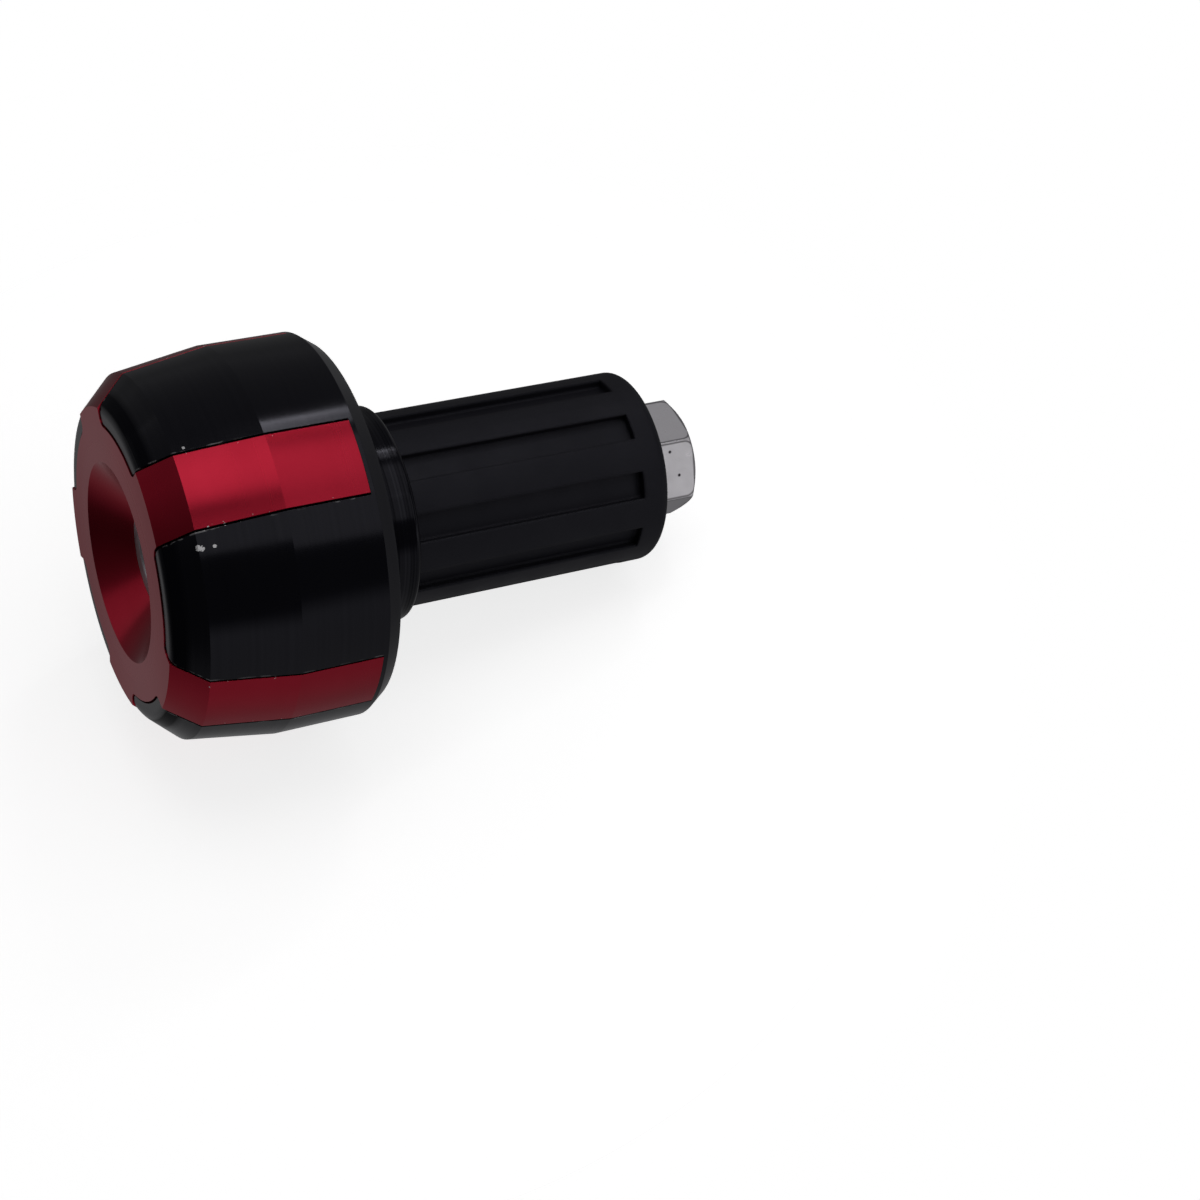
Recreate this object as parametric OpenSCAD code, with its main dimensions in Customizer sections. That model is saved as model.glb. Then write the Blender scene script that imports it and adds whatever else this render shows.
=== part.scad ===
// Bar end weight for a motorbike handlebar, in millimetres.
// The axis runs along X: the head is on the -X side, the plug that goes into the bar on the +X side.
// The origin is on the axis, in the plane where the collar stops against the end of the bar.
// Every sub-part is drawn from the face (z = 0) towards the tail, and then laid along X.

/* [Head] */
// Largest diameter of the head, over the petals and the arms
head_d = 36; // [34:0.5:40]
// Diameter of the flat face at the front of the head
face_d = 28.4; // [27:0.2:29.6]
// Diameter where the front chamfer meets the tapered flank
chamfer_d = 33.6; // [32:0.2:34]
// Length of the front chamfer along the axis
chamfer_l = 2.8; // [2:0.2:4]
// Distance from the face to the end of the tapered flank
taper_l = 10.7; // [8:0.1:14]
// Distance from the face to the ends of the arms
arm_l = 18.4; // [16:0.1:21]
// Length of the closed rim behind the arms
rim_l = 0.4; // [0.3:0.1:2]
// Length of the chamfer behind the rim
rear_chamfer_l = 1.4; // [1:0.1:3]
// Diameter of the flat back of the head
back_d = 34; // [28:0.2:34]

/* [Arms and petals] */
// Number of arms, and of petals between them
arm_n = 5; // [3:1:6]
// Width of an arm
arm_w = 6.8; // [5:0.2:8]
// Diameter of the drum that carries the arms
drum_d = 25.4; // [24:0.2:26]
// Radius in the corner between an arm and the drum
root_r = 1; // [0.5:0.1:1.5]
// Gap between the red core and the black petals, on each side
seam_gap = 0.2; // [0.1:0.05:0.3]
// Depth of the petal tips below the face
tip_recess = 0.1; // [0.05:0.05:0.6]
// Radius of the rounded petal tips
tip_r = 1.5; // [0.5:0.1:2]
// Turn of the arms about the axis, from straight up
arm_angle = 23.5; // [0:0.5:72]

/* [Dish] */
// Diameter of the dish at the face
dish_d = 18.4; // [16:0.2:20]
// Depth of the dish
dish_depth = 3.1; // [2:0.1:5]
// Gap round the screw head in its pocket
pocket_gap = 0.2; // [0.1:0.05:0.6]

/* [Collar] */
// Diameter of the collar
collar_d = 20.4; // [19.8:0.2:24]
// Length of the collar behind the head
collar_l = 5; // [2:0.1:6]
// Radius of the collar's rear edge
collar_r = 0.5; // [0.2:0.1:0.6]

/* [Screw] */
// Diameter of the screw
screw_d = 6; // [5:0.5:7]
// Distance from the nut's outer face back to the end of the screw
screw_inset = 2.3; // [0:0.1:3]
// Diameter of the screw head
screw_head_d = 10; // [9:0.5:11]
// Height of the screw head
screw_head_h = 6; // [5:0.5:7]
// Edge chamfer of the screw head
screw_head_edge = 0.4; // [0.2:0.05:0.6]
// Depth of the screw head below the face
screw_depth = 2.9; // [2:0.1:4]
// Width of the hexagon socket across its flats
key_w = 5; // [4:0.5:6]
// Depth of the hexagon socket
key_depth = 3; // [2:0.5:4]
// Width of the chamfer at the mouth of the socket
key_edge = 0.2; // [0.1:0.05:0.5]
// Depth of the drilled cone at the bottom of the socket
key_drill_l = 1.2; // [0.5:0.1:1.5]
// Gap between the screw and the holes it passes through
screw_gap = 0.3; // [0.2:0.1:0.5]
// Chamfer on the end of the screw
screw_end_edge = 0.8; // [0.4:0.1:1]
// Turn of the socket about the axis
key_angle = 10; // [0:1:60]

/* [Rubber sleeve] */
// Outer diameter of the sleeve, a sliding fit in the bar
sleeve_d = 18.5; // [17:0.25:19]
// Length of the sleeve
sleeve_l = 26; // [22:0.5:30]
// Number of grooves, which run out at the collar
groove_n = 10; // [6:1:12]
// Width of a groove
groove_w = 2.6; // [1.5:0.1:3]
// Depth of a groove
groove_depth = 0.9; // [0.4:0.1:1.5]
// Length of the plain band at the nut
tail_band_l = 2.8; // [2:0.1:4]
// Radius of the sleeve's tail edge
sleeve_edge_r = 0.9; // [0.3:0.1:1.5]
// Turn of the grooves about the axis
groove_angle = 0; // [0:1:60]

/* [Nut] */
// Width of the nut across its flats
nut_w = 10; // [9:0.5:12]
// Length of the nut
nut_l = 5; // [4:0.5:6]
// Angle of the nut's end chamfer
nut_edge_angle = 30; // [20:1:35]
// Gap between the nut's thread and the screw
thread_gap = 0.05; // [0.02:0.01:0.1]
// Turn of the nut about the axis
nut_angle = 27; // [0:1:60]

/* [Hidden] */
$fn = 96;
// How far a cut runs past the face that it cuts
over = 1;
head_l = arm_l + rim_l + rear_chamfer_l;
collar_end = head_l + collar_l;
sleeve_end = collar_end + sleeve_l;
hole_d = screw_d + 2 * screw_gap;
pocket_d = screw_head_d + 2 * pocket_gap;
nut_end = sleeve_end + nut_l;
pocket_end = screw_depth + screw_head_h;
screw_end = nut_end - screw_inset;
// Points on each rounded edge
arc_steps = 8;

// Points of the arc of radius r that rounds the corner p between a and b
function rounded(a, p, b, r) =
    let(
        u = (a - p) / norm(a - p),
        v = (b - p) / norm(b - p),
        half = acos(u * v) / 2,
        centre = p + (u + v) / norm(u + v) * r / sin(half),
        from = p + u * r / tan(half) - centre,
        sweep = (u[0] * v[1] - u[1] * v[0] > 0 ? -1 : 1) * (180 - 2 * half)
    )
    [for (i = [0:arc_steps])
        let(t = sweep * i / arc_steps)
        centre + [from[0] * cos(t) - from[1] * sin(t), from[0] * sin(t) + from[1] * cos(t)]];

// Radius of the head's front chamfer at a distance from the face
function chamfer_radius(z) = face_d / 2 + (chamfer_d - face_d) / 2 * z / chamfer_l;

// Lays a sub-part along the bar's axis, with its local +X straight up
module along_bar(angle = 0) {
    translate([-collar_end, 0, 0])
        rotate([angle, 0, 0])
        rotate([0, 90, 0])
        rotate([0, 0, 180])
        children();
}

// Flank of the head, from the face to the end of the arms
module flank() {
    rotate_extrude()
        polygon([
            [0, 0],
            [face_d / 2, 0],
            [chamfer_d / 2, chamfer_l],
            [head_d / 2, taper_l],
            [head_d / 2, arm_l],
            [0, arm_l]
        ]);
}

// The fillet between an arm of half width h and the drum of radius r
module root_fillet(r, h, f) {
    centre = [sqrt((r + f) * (r + f) - (h + f) * (h + f)), h + f];
    difference() {
        polygon([centre, centre * r / (r + f), [sqrt(r * r - h * h) - f, h - f], [centre[0], h]]);
        translate(centre)
            circle(r = f);
    }
}

// Drum with its arms, seen along the axis, grown by a gap all round
module spider(grow) {
    r = drum_d / 2 + grow;
    h = arm_w / 2 + grow;
    circle(r = r);
    for (i = [0:arm_n - 1])
        rotate(i * 360 / arm_n) {
            translate([0, -h])
                square([head_d, 2 * h]);
            for (side = [0, 1])
                mirror([0, side])
                    root_fillet(r, h, root_r - grow);
        }
}

module petal_shell() {
    color([0.05, 0.05, 0.06])
    along_bar(arm_angle)
        difference() {
            rotate_extrude()
                polygon(concat(
                    [[0, tip_recess]],
                    rounded(
                        [0, tip_recess],
                        [chamfer_radius(tip_recess), tip_recess],
                        [chamfer_d / 2, chamfer_l],
                        tip_r
                    ),
                    [
                        [chamfer_d / 2, chamfer_l],
                        [head_d / 2, taper_l],
                        [head_d / 2, arm_l + rim_l],
                        [back_d / 2, head_l],
                        [collar_d / 2, head_l]
                    ],
                    rounded(
                        [collar_d / 2, head_l],
                        [collar_d / 2, collar_end],
                        [0, collar_end],
                        collar_r
                    ),
                    [[0, collar_end]]
                ));
            translate([0, 0, -over])
                linear_extrude(arm_l + over)
                spider(seam_gap);
            cylinder(d = hole_d, h = collar_end + over);
        }
}

module core() {
    color([0.55, 0.04, 0.08])
    along_bar(arm_angle)
        difference() {
            intersection() {
                flank();
                linear_extrude(arm_l)
                    spider(0);
            }
            rotate_extrude()
                polygon([
                    [0, -over],
                    [dish_d / 2, -over],
                    [dish_d / 2, 0],
                    [pocket_d / 2, dish_depth],
                    [pocket_d / 2, pocket_end],
                    [hole_d / 2, pocket_end],
                    [hole_d / 2, arm_l + over],
                    [0, arm_l + over]
                ]);
        }
}

module cap_screw() {
    socket_r = key_w / 2 / cos(30);
    color([0.62, 0.64, 0.64])
    along_bar(key_angle)
        difference() {
            rotate_extrude()
                polygon([
                    [0, screw_depth],
                    [screw_head_d / 2 - screw_head_edge, screw_depth],
                    [screw_head_d / 2, screw_depth + screw_head_edge],
                    [screw_head_d / 2, pocket_end],
                    [screw_d / 2, pocket_end],
                    [screw_d / 2, screw_end - screw_end_edge],
                    [screw_d / 2 - screw_end_edge, screw_end],
                    [0, screw_end]
                ]);
            translate([0, 0, screw_depth - over])
                cylinder(r = socket_r, h = key_depth + over, $fn = 6);
            translate([0, 0, screw_depth])
                rotate_extrude()
                polygon([
                    [0, -over],
                    [socket_r + key_edge, -over],
                    [socket_r + key_edge, 0],
                    [key_w / 2, socket_r + key_edge - key_w / 2],
                    [key_w / 2, key_depth],
                    [0, key_depth + key_drill_l]
                ]);
        }
}

module rubber_sleeve() {
    color([0.09, 0.09, 0.1])
    along_bar(groove_angle)
        difference() {
            rotate_extrude()
                polygon(concat(
                    [
                        [hole_d / 2, collar_end],
                        [sleeve_d / 2, collar_end]
                    ],
                    rounded(
                        [sleeve_d / 2, collar_end],
                        [sleeve_d / 2, sleeve_end],
                        [0, sleeve_end],
                        sleeve_edge_r
                    ),
                    [[hole_d / 2, sleeve_end]]
                ));
            for (i = [0:groove_n - 1])
                rotate((i + 0.5) * 360 / groove_n)
                    translate([sleeve_d / 2 - groove_depth, -groove_w / 2, collar_end - over])
                    cube([groove_depth + over, groove_w, sleeve_l - tail_band_l + over]);
        }
}

module hex_nut() {
    corner_r = nut_w / 2 / cos(30);
    edge_h = (corner_r - nut_w / 2) * tan(nut_edge_angle);
    color([0.72, 0.72, 0.7])
    along_bar(nut_angle)
        translate([0, 0, sleeve_end])
        difference() {
            intersection() {
                cylinder(r = corner_r, h = nut_l, $fn = 6);
                rotate_extrude()
                    polygon([
                        [0, 0],
                        [nut_w / 2, 0],
                        [corner_r, edge_h],
                        [corner_r, nut_l - edge_h],
                        [nut_w / 2, nut_l],
                        [0, nut_l]
                    ]);
            }
            translate([0, 0, -over])
                cylinder(d = screw_d + 2 * thread_gap, h = nut_l + 2 * over);
        }
}

petal_shell();
core();
cap_screw();
rubber_sleeve();
hex_nut();
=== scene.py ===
"""Looks of a bar end weight: five-armed turned head, black petal shell, rubber sleeve, cap screw and nut."""
import math

import bpy
from mathutils import Matrix, Vector

# Lengths are in millimetres and angles in degrees, unless a comment says otherwise
MM = 0.001

# Camera: where it stands, and the directions ahead of it and to its right
CAMERA_AT = (-78.72, -143.29, 169.10)
CAMERA_FORWARD = (0.40803, 0.55036, -0.72843)
CAMERA_RIGHT = (0.89217, -0.40970, 0.19021)
LENS = 75.0
SENSOR = 36.0
CLIP = (10.0, 10000.0)

# The arms of the head: how many, the turn of the first from straight up, and their width
ARM_COUNT = 5
ARM_ANGLE = 23.5
ARM_WIDTH = 6.8

# Chips near the arms' sides and the painted edge highlight show only beside the slots: outside this radius and in front
# of this place along X, faded over a short edge
SLOT_RADIUS = 14.2
SLOT_END = -6.8
SLOT_EDGE = 0.3

# Chips in the finish along the upper arm and on the petals: where, and how large
NICKS = (
    ((-22.2, -10.95, 12.75), 0.6),
    ((-21.0, -11.07, 12.85), 0.28),
    ((-18.72, -1.05, 17.18), 0.16),
    ((-22.4, -16.74, 1.29), 0.2),
    ((-21.33, -2.96, 16.66), 0.22),
    ((-16.2, -3.37, 17.16), 0.2),
    ((-14.47, -2.28, 17.54), 0.25),
    ((-15.18, -9.64, 14.73), 0.22),
    ((-21.18, -9.74, 13.84), 0.18),
    ((-19.77, -9.87, 13.95), 0.2),
)

# A chip shows where its noise, raised near an arm's side and at each nick, passes from the first level to the second
CHIP_GRAIN = 0.5
CHIP_LEVELS = (0.86, 0.90)
CHIP_REACH = (0.2, 0.5)
CHIP_AT_EDGE = 0.2
CHIP_AT_NICK = 0.4

# The painted highlight line along the petals' edges: distances from an arm's side between which it rises and falls, and
# how far it takes the bright chip colour
HIGHLIGHT_LINE_RISE = (0.16, 0.22)
HIGHLIGHT_LINE_FALL = (0.27, 0.36)
HIGHLIGHT_LINE_GRAIN = 0.8
HIGHLIGHT_LINE_STRENGTH = 0.3

# Bare metal in the chips, also the colour of the painted edge highlight
CHIP_AND_HIGHLIGHT_COLOUR = (0.9, 0.89, 0.9)
CHIP_AND_HIGHLIGHT_METALLIC = 0.2

# Turned finish: sizes of its fine rings, broad rings, blotches and gloss marks, and the radius of its softened edges
RING = 0.3
BROAD_RING = 3.0
BLOTCH = 4.5
GLOSS_MARK = 0.4
TURNED_EDGE = 0.05
ROUGHNESS_SWING = 0.015

# Gloss marks swing more on the collar than on the petals: the radii between which this changes, and each share
COLLAR_TO_PETALS = (10.5, 12.5)
COLLAR_SWING = 4.0
PETAL_SWING = 0.4

# The petals' rounded tips are duller: the places along X between which the gloss falls, and rises again
TIP_FALL = (-24.98, -24.85)
TIP_RISE = (-24.1, -23.6)
TIP_GLOSS = 0.08

# The two anodised finishes. Streak is how far highlights are drawn out, groove the height of the rings
NEUTRAL = (1, 1, 1, 1)
BLUISH = (0.86, 0.85, 1, 1)
RED = {
    "dark": (0.40, 0.014, 0.032), "light": (0.48, 0.02, 0.044), "metallic": 1.0, "roughness": 0.27,
    "streak": 0.6, "groove": 0.0003, "gloss": 0.5, "tint": NEUTRAL,
}
BLACK = {
    "dark": (0.0042, 0.0042, 0.0062), "light": (0.006, 0.006, 0.0086), "metallic": 0.0, "roughness": 0.16,
    "streak": 0.5, "groove": 0.001, "gloss": 0.27, "tint": BLUISH,
}

# Zinc-plated steel: colours of its patches and of its pits and painted dark reflection, roughness, sizes of patches and
# grain
ZINC_DARK = (0.66, 0.64, 0.67)
ZINC_LIGHT = (0.70, 0.68, 0.71)
ZINC_PIT_AND_REFLECTION = (0.03, 0.025, 0.03)
ZINC_ROUGHNESS = (0.26, 0.34)
ZINC_PATCH = 1.6
ZINC_GRAIN = 0.25
ZINC_EDGE = 0.3
RIDGE_HEIGHT = 0.12

# Ridges round the side of the screw's head: how many, and where they begin outwards and end along X
KNURL_COUNT = 32
KNURL_RADII = (4.6, 4.8)
KNURL_END = (-12.0, -11.0)

# The screw's thread: its pitch, and the radii between which it appears and ends
THREAD_PITCH = 1.0
THREAD_INNER = (2.9, 2.95)
THREAD_OUTER = (3.01, 3.02)

# The nut: the turn of a corner from straight up, width across flats, end face, and how far its flats' corners round off
NUT_ANGLE = 27.0
NUT_WIDTH = 10.0
NUT_END = 31.0
NUT_CORNER = 1.1

# The painted dark reflection, a dark line inside each flat's outline that stands in for the chamfer reflecting a dark
# room:
# distances from the outline between which it rises and falls, and how dark it is. It shows behind the first place along
# X and outside the radius
FLAT_LINE_RISE = (0.04, 0.12)
FLAT_LINE_FALL = (0.18, 0.3)
FLAT_LINE_SHADE = 0.7
FLAT_START = (25.5, 26.0)
FLAT_RADII = (4.85, 4.95)

# Two dark pits on one flat of the nut: where, and the radii between which they fade
PITS = ((28.31, -3.15, 4.34), (29.19, -4.48, 2.28))
PIT_RADII = (0.1, 0.2)

# Rubber: colours and roughness of its bloom, and sizes of bloom, grain and softened edges
RUBBER_DARK = (0.005, 0.005, 0.0075)
RUBBER_LIGHT = (0.008, 0.008, 0.0115)
RUBBER_ROUGHNESS = (0.5, 0.62)
RUBBER_GLOSS = 0.36
RUBBER_BLOOM = 4.0
RUBBER_GRAIN = 0.2
RUBBER_EDGE = 0.45

# Height of the grain on zinc and rubber
GRAIN_HEIGHT = 0.01

# Noise is mapped from this span of its values
NOISE_SPAN = (0.3, 0.7)

# The floor touches the head's rim and the sleeve's far edge, so it rises towards the tail. It fades between two radii
FLOOR_POINT = (-5.7, 0.0, -18.0)
FLOOR_TILT = 15.5
FLOOR_RADIUS = 75.0
FLOOR_FADE = (40.0, 70.0)
FLOOR_WHITE = (0.8, 0.8, 0.8, 1)
FLOOR_GLOW = 0.78

# The room that the object reflects. Below the floor's plane its strength goes by height, from 0 at the plane to -1
# straight down, and is multiplied along X and Y: from full at the first value to a share at the second
ROOM_COLOUR = (0.98, 0.98, 1.0, 1)
TABLE_HEIGHTS = (-0.7, -0.15)
TABLE_STRENGTHS = (0.21, 0.30)
TABLE_FADES = (
    ("X", 0.3, 0.45, 0.8),
    ("X", -0.5, -0.8, 0.12),
    ("Y", 0.68, 0.85, 0.32),
    ("Y", -0.3, -0.55, 1.3),
)
# Above it the strength goes by Y; the two meet over a narrow span of heights
HORIZON = (-0.1, 0.06)
WALL_SPAN = (-0.3, 0.6)
WALL_STRENGTHS = (0.03, 0.14)

# Soft lights: name, direction from the point that they face, distance, width and height, power in watts, turn about
# their own axis, and the point that they face
LIGHTS = (
    ("ceiling", (0.05, -0.035, 1.0), 600, (750, 330), 0.52, -24, (0, 0, 0)),
    ("ceiling_front", (-0.1, 0.03, 1.0), 600, (420, 330), 0.13, -24, (0, 0, 0)),
    ("ceiling_side", (0.30, -0.62, 0.80), 600, (600, 260), 0.27, 0, (0, 0, 0)),
    ("window", (0.25, 0.33, 0.90), 600, (90, 90), 0.08, 0, (0, 0, 0)),
    ("lamp", (0.34, 0.39, 0.85), 600, (220, 18), 0.07, 0, (0, 0, 0)),
    ("left_wall", (-0.85, 0.03, 0.52), 600, (400, 300), 0.014, 0, (0, 0, 0)),
    ("back_window", (-0.85, 0.50, 0.10), 600, (240, 340), 0.065, 0, (0, 0, 0)),
    ("tail_card", (0.43, -0.86, 0.25), 70, (30, 30), 0.0019, 0, (28, -4, 3)),
    ("tail_card_top", (0.434, 0.65, 0.63), 70, (25, 30), 0.0005, 0, (30, 1, 5)),
)


def nodes_of(material):
    """A material's node tree, emptied, and its Principled shader."""
    material.use_nodes = True
    tree = material.node_tree
    tree.nodes.clear()
    shader = tree.nodes.new("ShaderNodeBsdfPrincipled")
    output = tree.nodes.new("ShaderNodeOutputMaterial")
    tree.links.new(shader.outputs[0], output.inputs["Surface"])
    return tree, shader


def feed(tree, socket, value):
    """Gives an input its value, or links it where the value is another node's socket."""
    if isinstance(value, bpy.types.NodeSocket):
        tree.links.new(value, socket)
    else:
        socket.default_value = value


def math_node(tree, operation, *values):
    """A Math node whose inputs are numbers or sockets."""
    node = tree.nodes.new("ShaderNodeMath")
    node.operation = operation
    for socket, value in zip(node.inputs, values):
        feed(tree, socket, value)
    return node.outputs[0]


def product(tree, *values):
    """The product of numbers or sockets."""
    total = values[0]
    for value in values[1:]:
        total = math_node(tree, "MULTIPLY", total, value)
    return total


def position(tree):
    """The x, y and z of a point in the part's own frame, in metres."""
    place = tree.nodes.new("ShaderNodeTexCoord")
    split = tree.nodes.new("ShaderNodeSeparateXYZ")
    tree.links.new(place.outputs["Object"], split.inputs[0])
    return split.outputs


def vector(tree, x, y, z):
    """A vector from three numbers or sockets."""
    node = tree.nodes.new("ShaderNodeCombineXYZ")
    for socket, value in zip(node.inputs, (x, y, z)):
        feed(tree, socket, value)
    return node.outputs[0]


def noise(tree, place, size, detail=2.0, roughness=0.5):
    """Noise whose patches are about that size."""
    node = tree.nodes.new("ShaderNodeTexNoise")
    node.inputs["Scale"].default_value = 1 / (size * MM)
    node.inputs["Detail"].default_value = detail
    node.inputs["Roughness"].default_value = roughness
    tree.links.new(place, node.inputs["Vector"])
    return node.outputs["Fac"]


def ranged(tree, value, span, to_low, to_high):
    """A value carried from a span to another, and held at its ends."""
    node = tree.nodes.new("ShaderNodeMapRange")
    tree.links.new(value, node.inputs["Value"])
    for name, number in zip(("From Min", "From Max", "To Min", "To Max"), (*span, to_low, to_high)):
        node.inputs[name].default_value = number
    return node.outputs["Result"]


def between(tree, length, span, to_low, to_high):
    """A length in metres carried from a span of millimetres to another span."""
    return ranged(tree, length, [end * MM for end in span], to_low, to_high)


def bump(tree, height, distance, below):
    """Relief of that height, laid over another."""
    node = tree.nodes.new("ShaderNodeBump")
    node.inputs["Strength"].default_value = 1.0
    node.inputs["Distance"].default_value = distance * MM
    tree.links.new(height, node.inputs["Height"])
    tree.links.new(below, node.inputs["Normal"])
    return node.outputs["Normal"]


def rounded_edges(tree, radius):
    """The surface's direction with its sharp edges softened over a radius."""
    node = tree.nodes.new("ShaderNodeBevel")
    node.samples = 6
    node.inputs["Radius"].default_value = radius * MM
    return node.outputs["Normal"]


def coloured(tree, factor, low, high):
    """A colour between two, by a factor from 0 to 1. Each colour is three numbers or a socket."""
    node = tree.nodes.new("ShaderNodeMix")
    node.data_type = "RGBA"
    tree.links.new(factor, node.inputs["Factor"])
    for name, colour in (("A", low), ("B", high)):
        feed(tree, node.inputs[name], (*colour, 1) if isinstance(colour, tuple) else colour)
    return node.outputs["Result"]


def radius_of(tree, y, z):
    """The length of a vector of two parts; of y and z, the distance from the part's axis."""
    squares = [math_node(tree, "POWER", side, 2.0) for side in (y, z)]
    return math_node(tree, "SQRT", math_node(tree, "ADD", *squares))


def side_distance(tree, y, z, radius, first, count):
    """Distance across from the nearest of the even turns about the axis that start at the first."""
    angle = math_node(tree, "ARCTAN2", math_node(tree, "MULTIPLY", y, -1.0), z)
    turn = math_node(tree, "SUBTRACT", angle, math.radians(first))
    near = math_node(tree, "WRAP", turn, math.pi / count, -math.pi / count)
    return math_node(tree, "ABSOLUTE", math_node(tree, "MULTIPLY", radius, math_node(tree, "SINE", near)))


def slot_distance(tree, y, z, radius):
    """Distance from the nearest side of an arm, in metres: negative over the arm, positive over the petal."""
    across = side_distance(tree, y, z, radius, ARM_ANGLE, ARM_COUNT)
    return math_node(tree, "SUBTRACT", across, ARM_WIDTH / 2 * MM)


def spot(tree, place, centre, radii, inside):
    """A value that falls from inside to 0 between the two radii of a round spot."""
    away = tree.nodes.new("ShaderNodeVectorMath")
    away.operation = "DISTANCE"
    tree.links.new(place, away.inputs[0])
    away.inputs[1].default_value = Vector(centre) * MM
    return between(tree, away.outputs["Value"], radii, inside, 0.0)


def beside_slots(tree, x, radius):
    """The outside of the head as far back as the slots reach: 1 there, 0 elsewhere."""
    return product(tree, between(tree, radius, (SLOT_RADIUS - SLOT_EDGE, SLOT_RADIUS), 0.0, 1.0),
                   between(tree, x, (SLOT_END - SLOT_EDGE, SLOT_END), 1.0, 0.0))


def nicks(tree, x, y, z, radius):
    """Where the finish is chipped to bare metal: small spots along the slots on the outside, and the listed ones."""
    place = vector(tree, x, y, z)
    chips = noise(tree, place, CHIP_GRAIN, 4.0, 0.65)
    beside = math_node(tree, "ABSOLUTE", slot_distance(tree, y, z, radius))
    edge = between(tree, beside, CHIP_REACH, CHIP_AT_EDGE, 0.0)
    total = math_node(tree, "ADD", chips, product(tree, edge, beside_slots(tree, x, radius)))
    for centre, size in NICKS:
        total = math_node(tree, "ADD", total, spot(tree, place, centre, (size * 0.5, size), CHIP_AT_NICK))
    return ranged(tree, total, CHIP_LEVELS, 0.0, 1.0)


def painted_edge_highlight(tree, x, y, z, radius):
    """A painted highlight along the petals' edges beside the slots: a broken light line just outside the slots."""
    beside = slot_distance(tree, y, z, radius)
    rise = between(tree, beside, HIGHLIGHT_LINE_RISE, 0.0, 1.0)
    fall = between(tree, beside, HIGHLIGHT_LINE_FALL, 1.0, 0.0)
    drawn_out = vector(tree, math_node(tree, "MULTIPLY", x, 0.3), y, z)
    broken = ranged(tree, noise(tree, drawn_out, HIGHLIGHT_LINE_GRAIN, 3.0, 0.6), (0.5, 0.62), 0.0, HIGHLIGHT_LINE_STRENGTH)
    return product(tree, rise, fall, beside_slots(tree, x, radius), broken)


def turned_gloss(tree, x, radius, rings, gloss):
    """Gloss of a turned finish: it swings from ring to ring, and falls on the petals' tips."""
    marks = noise(tree, rings, GLOSS_MARK)
    depth = between(tree, radius, COLLAR_TO_PETALS, COLLAR_SWING * gloss, PETAL_SWING * gloss)
    swing = product(tree, math_node(tree, "SUBTRACT", marks, 0.5), depth)
    tips = math_node(tree, "MAXIMUM", between(tree, x, TIP_FALL, 1.0, TIP_GLOSS),
                     between(tree, x, TIP_RISE, TIP_GLOSS, 1.0))
    return product(tree, math_node(tree, "ADD", swing, gloss), tips)


def turned(name, dark, light, metallic, roughness, streak, groove, gloss, tint):
    """Anodised aluminium turned about X: rings in the finish, highlights drawn out across them, nicks at the slots, and
    a painted highlight line along the petals' edges.
    """
    material = bpy.data.materials.new(name)
    tree, shader = nodes_of(material)
    x, y, z = position(tree)
    radius = radius_of(tree, y, z)
    rings = vector(tree, x, radius, 0.0)
    blotches = noise(tree, vector(tree, x, y, z), BLOTCH, 3.0)
    # Bare chips and the painted edge highlight, both in the bright chip colour
    chips_and_highlight = math_node(tree, "MAXIMUM", nicks(tree, x, y, z, radius), painted_edge_highlight(tree, x, y, z, radius))
    colour = coloured(tree, chips_and_highlight, coloured(tree, blotches, dark, light), CHIP_AND_HIGHLIGHT_COLOUR)
    relief = bump(tree, noise(tree, rings, RING, 1.0), groove, rounded_edges(tree, TURNED_EDGE))
    broad = ranged(tree, noise(tree, rings, BROAD_RING), NOISE_SPAN, roughness - ROUGHNESS_SWING,
                   roughness + ROUGHNESS_SWING)
    tree.links.new(colour, shader.inputs["Base Color"])
    tree.links.new(ranged(tree, chips_and_highlight, (0.0, 1.0), metallic, CHIP_AND_HIGHLIGHT_METALLIC), shader.inputs["Metallic"])
    tree.links.new(broad, shader.inputs["Roughness"])
    tree.links.new(relief, shader.inputs["Normal"])
    tree.links.new(turned_gloss(tree, x, radius, rings, gloss), shader.inputs["Specular IOR Level"])
    around = vector(tree, 0.0, math_node(tree, "MULTIPLY", z, -1.0), y)
    tree.links.new(around, shader.inputs["Tangent"])
    shader.inputs["Specular Tint"].default_value = tint
    shader.inputs["Anisotropic"].default_value = streak
    shader.inputs["Anisotropic Rotation"].default_value = 0.25
    return material


def pits(tree, place):
    """The two dark pits on a flat of the nut."""
    return math_node(tree, "MAXIMUM", *[spot(tree, place, centre, PIT_RADII, 1.0) for centre in PITS])


def flat_dark_reflection(tree, x, y, z, radius):
    """A painted dark reflection: the dark line just inside the rounded outline of each of the nut's flats."""
    across = side_distance(tree, y, z, radius, NUT_ANGLE + 30, 6)
    half, corner = NUT_WIDTH / 2 * math.tan(math.pi / 6) * MM, NUT_CORNER * MM
    beyond = math_node(tree, "MAXIMUM", math_node(tree, "SUBTRACT", across, half - corner), 0.0)
    behind = math_node(tree, "MAXIMUM", math_node(tree, "SUBTRACT", x, NUT_END * MM - corner), 0.0)
    inside = math_node(tree, "SUBTRACT", corner, radius_of(tree, beyond, behind))
    return product(tree, between(tree, inside, FLAT_LINE_RISE, 0.0, 1.0),
                   between(tree, inside, FLAT_LINE_FALL, 1.0, 0.0),
                   between(tree, x, FLAT_START, 0.0, FLAT_LINE_SHADE),
                   between(tree, radius, FLAT_RADII, 0.0, 1.0))


def knurl(tree, x, y, z, radius):
    """Ridges round the side of the screw's head."""
    ridges = math_node(tree, "SINE", math_node(tree, "MULTIPLY", math_node(tree, "ARCTAN2", y, z), KNURL_COUNT))
    return product(tree, between(tree, radius, KNURL_RADII, 0.0, 1.0), between(tree, x, KNURL_END, 1.0, 0.0), ridges)


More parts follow.
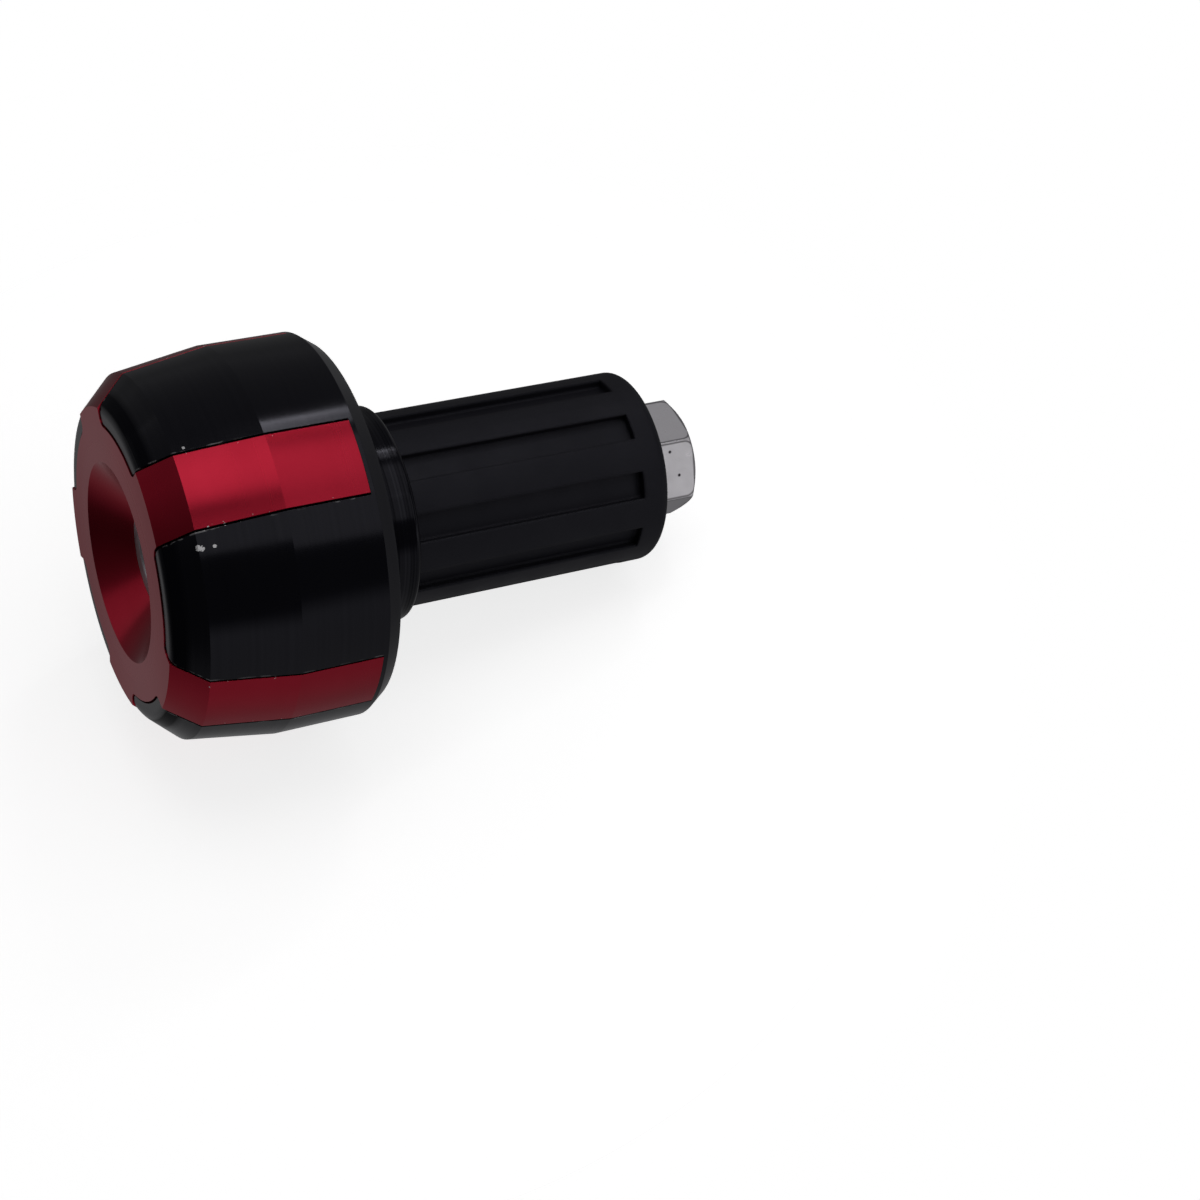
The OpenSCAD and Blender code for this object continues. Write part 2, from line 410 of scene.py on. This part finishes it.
def thread(tree, x, y, z, radius):
    """The screw thread's ridges on the shank behind the head."""
    turns = math_node(tree, "ADD", math_node(tree, "MULTIPLY", x, 2 * math.pi / (THREAD_PITCH * MM)),
                      math_node(tree, "ARCTAN2", y, z))
    return product(tree, between(tree, radius, THREAD_INNER, 0.0, 1.0), between(tree, radius, THREAD_OUTER, 1.0, 0.0),
                   math_node(tree, "SINE", turns))


def zinc():
    """Zinc-plated steel: grey metal, knurled round the screw's head, a painted dark reflection round the nut's flats,
    two pits on one.
    """
    material = bpy.data.materials.new("zinc_steel_finish")
    tree, shader = nodes_of(material)
    x, y, z = position(tree)
    place, radius = vector(tree, x, y, z), radius_of(tree, y, z)
    patches = noise(tree, place, ZINC_PATCH, 4.0)
    # The pits, and the painted dark reflection round the nut's flats
    marks = math_node(tree, "MAXIMUM", pits(tree, place), flat_dark_reflection(tree, x, y, z, radius))
    colour = coloured(tree, marks, coloured(tree, patches, ZINC_DARK, ZINC_LIGHT), ZINC_PIT_AND_REFLECTION)
    ridges = math_node(tree, "ADD", knurl(tree, x, y, z, radius), thread(tree, x, y, z, radius))
    ridged = bump(tree, ridges, RIDGE_HEIGHT, rounded_edges(tree, ZINC_EDGE))
    grain = bump(tree, noise(tree, place, ZINC_GRAIN, 3.0), GRAIN_HEIGHT, ridged)
    tree.links.new(colour, shader.inputs["Base Color"])
    tree.links.new(ranged(tree, patches, NOISE_SPAN, *ZINC_ROUGHNESS), shader.inputs["Roughness"])
    tree.links.new(grain, shader.inputs["Normal"])
    shader.inputs["Metallic"].default_value = 1.0
    return material


def rubber():
    """Moulded black rubber: matt, with a faint grain."""
    material = bpy.data.materials.new("rubber_finish")
    tree, shader = nodes_of(material)
    place = vector(tree, *position(tree))
    bloom = noise(tree, place, RUBBER_BLOOM, 3.0)
    grain = bump(tree, noise(tree, place, RUBBER_GRAIN, 3.0), GRAIN_HEIGHT, rounded_edges(tree, RUBBER_EDGE))
    tree.links.new(coloured(tree, bloom, RUBBER_DARK, RUBBER_LIGHT), shader.inputs["Base Color"])
    tree.links.new(ranged(tree, bloom, NOISE_SPAN, *RUBBER_ROUGHNESS), shader.inputs["Roughness"])
    tree.links.new(grain, shader.inputs["Normal"])
    shader.inputs["Specular IOR Level"].default_value = RUBBER_GLOSS
    shader.inputs["Specular Tint"].default_value = BLUISH
    return material


def paint(frame):
    """Each CAD node takes its finish."""
    red = turned("red_anodised_finish", **RED)
    black = turned("black_anodised_finish", **BLACK)
    steel, elastomer = zinc(), rubber()
    finishes = {"petal_shell": black, "core": red, "cap_screw": steel, "hex_nut": steel, "rubber_sleeve": elastomer}
    for name, finish in finishes.items():
        for place in frame["nodes"][name].material_slots:
            place.material = finish


def floor():
    """A pale round floor that fades out at its edge. It lights nothing: the room's own light stands for it."""
    turn = Matrix.Rotation(math.radians(-FLOOR_TILT), 4, "Y")
    bpy.ops.mesh.primitive_circle_add(vertices=128, radius=FLOOR_RADIUS * MM, fill_type="NGON")
    disc = bpy.context.object
    disc.name = "floor"
    disc.matrix_world = Matrix.Translation(Vector(FLOOR_POINT) * MM) @ turn
    disc.visible_glossy = disc.visible_diffuse = False
    material = bpy.data.materials.new("floor_paper")
    tree, shader = nodes_of(material)
    x, y, z = position(tree)
    shader.inputs["Base Color"].default_value = FLOOR_WHITE
    shader.inputs["Roughness"].default_value = 1.0
    shader.inputs["Specular IOR Level"].default_value = 0.0
    shader.inputs["Emission Color"].default_value = NEUTRAL
    shader.inputs["Emission Strength"].default_value = FLOOR_GLOW
    tree.links.new(between(tree, radius_of(tree, x, y), FLOOR_FADE, 1.0, 0.0), shader.inputs["Alpha"])
    disc.data.materials.append(material)


def area_light(name, direction, distance, size, power, spin, target):
    """A soft rectangular light that faces a point of the object, unseen by the camera."""
    data = bpy.data.lights.new(name, "AREA")
    data.shape = "RECTANGLE"
    data.size, data.size_y = (side * MM for side in size)
    data.energy = power
    lamp = bpy.data.objects.new(name, data)
    bpy.context.scene.collection.objects.link(lamp)
    away = Vector(direction).normalized()
    across = Vector((0, 1, 0)).cross(away).normalized()
    turn = Matrix((across, away.cross(across), away)).transposed().to_4x4()
    place = Matrix.Translation((Vector(target) + away * distance) * MM)
    lamp.matrix_world = place @ turn @ Matrix.Rotation(math.radians(spin), 4, "Z")
    lamp.visible_camera = False


def room_strength(tree):
    """How bright the room is in each direction: a table below the floor's plane, a dim wall above it."""
    place = tree.nodes.new("ShaderNodeTexCoord")
    height = tree.nodes.new("ShaderNodeVectorMath")
    height.operation = "DOT_PRODUCT"
    tilt = math.radians(FLOOR_TILT)
    height.inputs[1].default_value = (-math.sin(tilt), 0, math.cos(tilt))
    tree.links.new(place.outputs["Generated"], height.inputs[0])
    sides = tree.nodes.new("ShaderNodeSeparateXYZ")
    tree.links.new(place.outputs["Generated"], sides.inputs[0])
    table = ranged(tree, height.outputs["Value"], TABLE_HEIGHTS, *TABLE_STRENGTHS)
    for side, start, end, share in TABLE_FADES:
        table = product(tree, table, ranged(tree, sides.outputs[side], (start, end), 1.0, share))
    strength = tree.nodes.new("ShaderNodeMix")
    tree.links.new(ranged(tree, height.outputs["Value"], HORIZON, 0.0, 1.0), strength.inputs["Factor"])
    tree.links.new(table, strength.inputs["A"])
    tree.links.new(ranged(tree, sides.outputs["Y"], WALL_SPAN, *WALL_STRENGTHS), strength.inputs["B"])
    return strength.outputs["Result"]


def studio():
    """A white backdrop for the camera, a dim room for everything else, and soft lights."""
    world = bpy.data.worlds.new("studio")
    bpy.context.scene.world = world
    world.use_nodes = True
    tree = world.node_tree
    tree.nodes.clear()
    seen = tree.nodes.new("ShaderNodeBackground")
    seen.inputs["Color"].default_value = NEUTRAL
    room = tree.nodes.new("ShaderNodeBackground")
    room.inputs["Color"].default_value = ROOM_COLOUR
    tree.links.new(room_strength(tree), room.inputs["Strength"])
    path = tree.nodes.new("ShaderNodeLightPath")
    mix = tree.nodes.new("ShaderNodeMixShader")
    output = tree.nodes.new("ShaderNodeOutputWorld")
    tree.links.new(path.outputs["Is Camera Ray"], mix.inputs[0])
    tree.links.new(room.outputs[0], mix.inputs[1])
    tree.links.new(seen.outputs[0], mix.inputs[2])
    tree.links.new(mix.outputs[0], output.inputs[0])
    for light in LIGHTS:
        area_light(*light)


def camera():
    """The camera stands where the photograph was taken from."""
    data = bpy.data.cameras.new("camera")
    data.lens = LENS
    data.sensor_width = SENSOR
    data.clip_start, data.clip_end = (distance * MM for distance in CLIP)
    eye = bpy.data.objects.new("camera", data)
    bpy.context.scene.collection.objects.link(eye)
    forward = Vector(CAMERA_FORWARD).normalized()
    right = Vector(CAMERA_RIGHT)
    right = (right - forward * right.dot(forward)).normalized()
    up = right.cross(forward)
    turn = Matrix((right, up, -forward)).transposed().to_4x4()
    eye.matrix_world = Matrix.Translation(Vector(CAMERA_AT) * MM) @ turn
    bpy.context.scene.camera = eye


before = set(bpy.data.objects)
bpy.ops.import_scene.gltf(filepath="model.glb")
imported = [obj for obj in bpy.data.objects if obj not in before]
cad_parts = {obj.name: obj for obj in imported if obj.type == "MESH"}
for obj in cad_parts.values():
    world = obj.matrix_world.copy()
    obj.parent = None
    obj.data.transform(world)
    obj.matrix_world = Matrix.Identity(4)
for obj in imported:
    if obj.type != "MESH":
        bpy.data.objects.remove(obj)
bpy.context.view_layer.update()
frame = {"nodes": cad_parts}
bpy.context.scene.view_settings.view_transform = "Standard"
camera()
paint(frame)
floor()
studio()
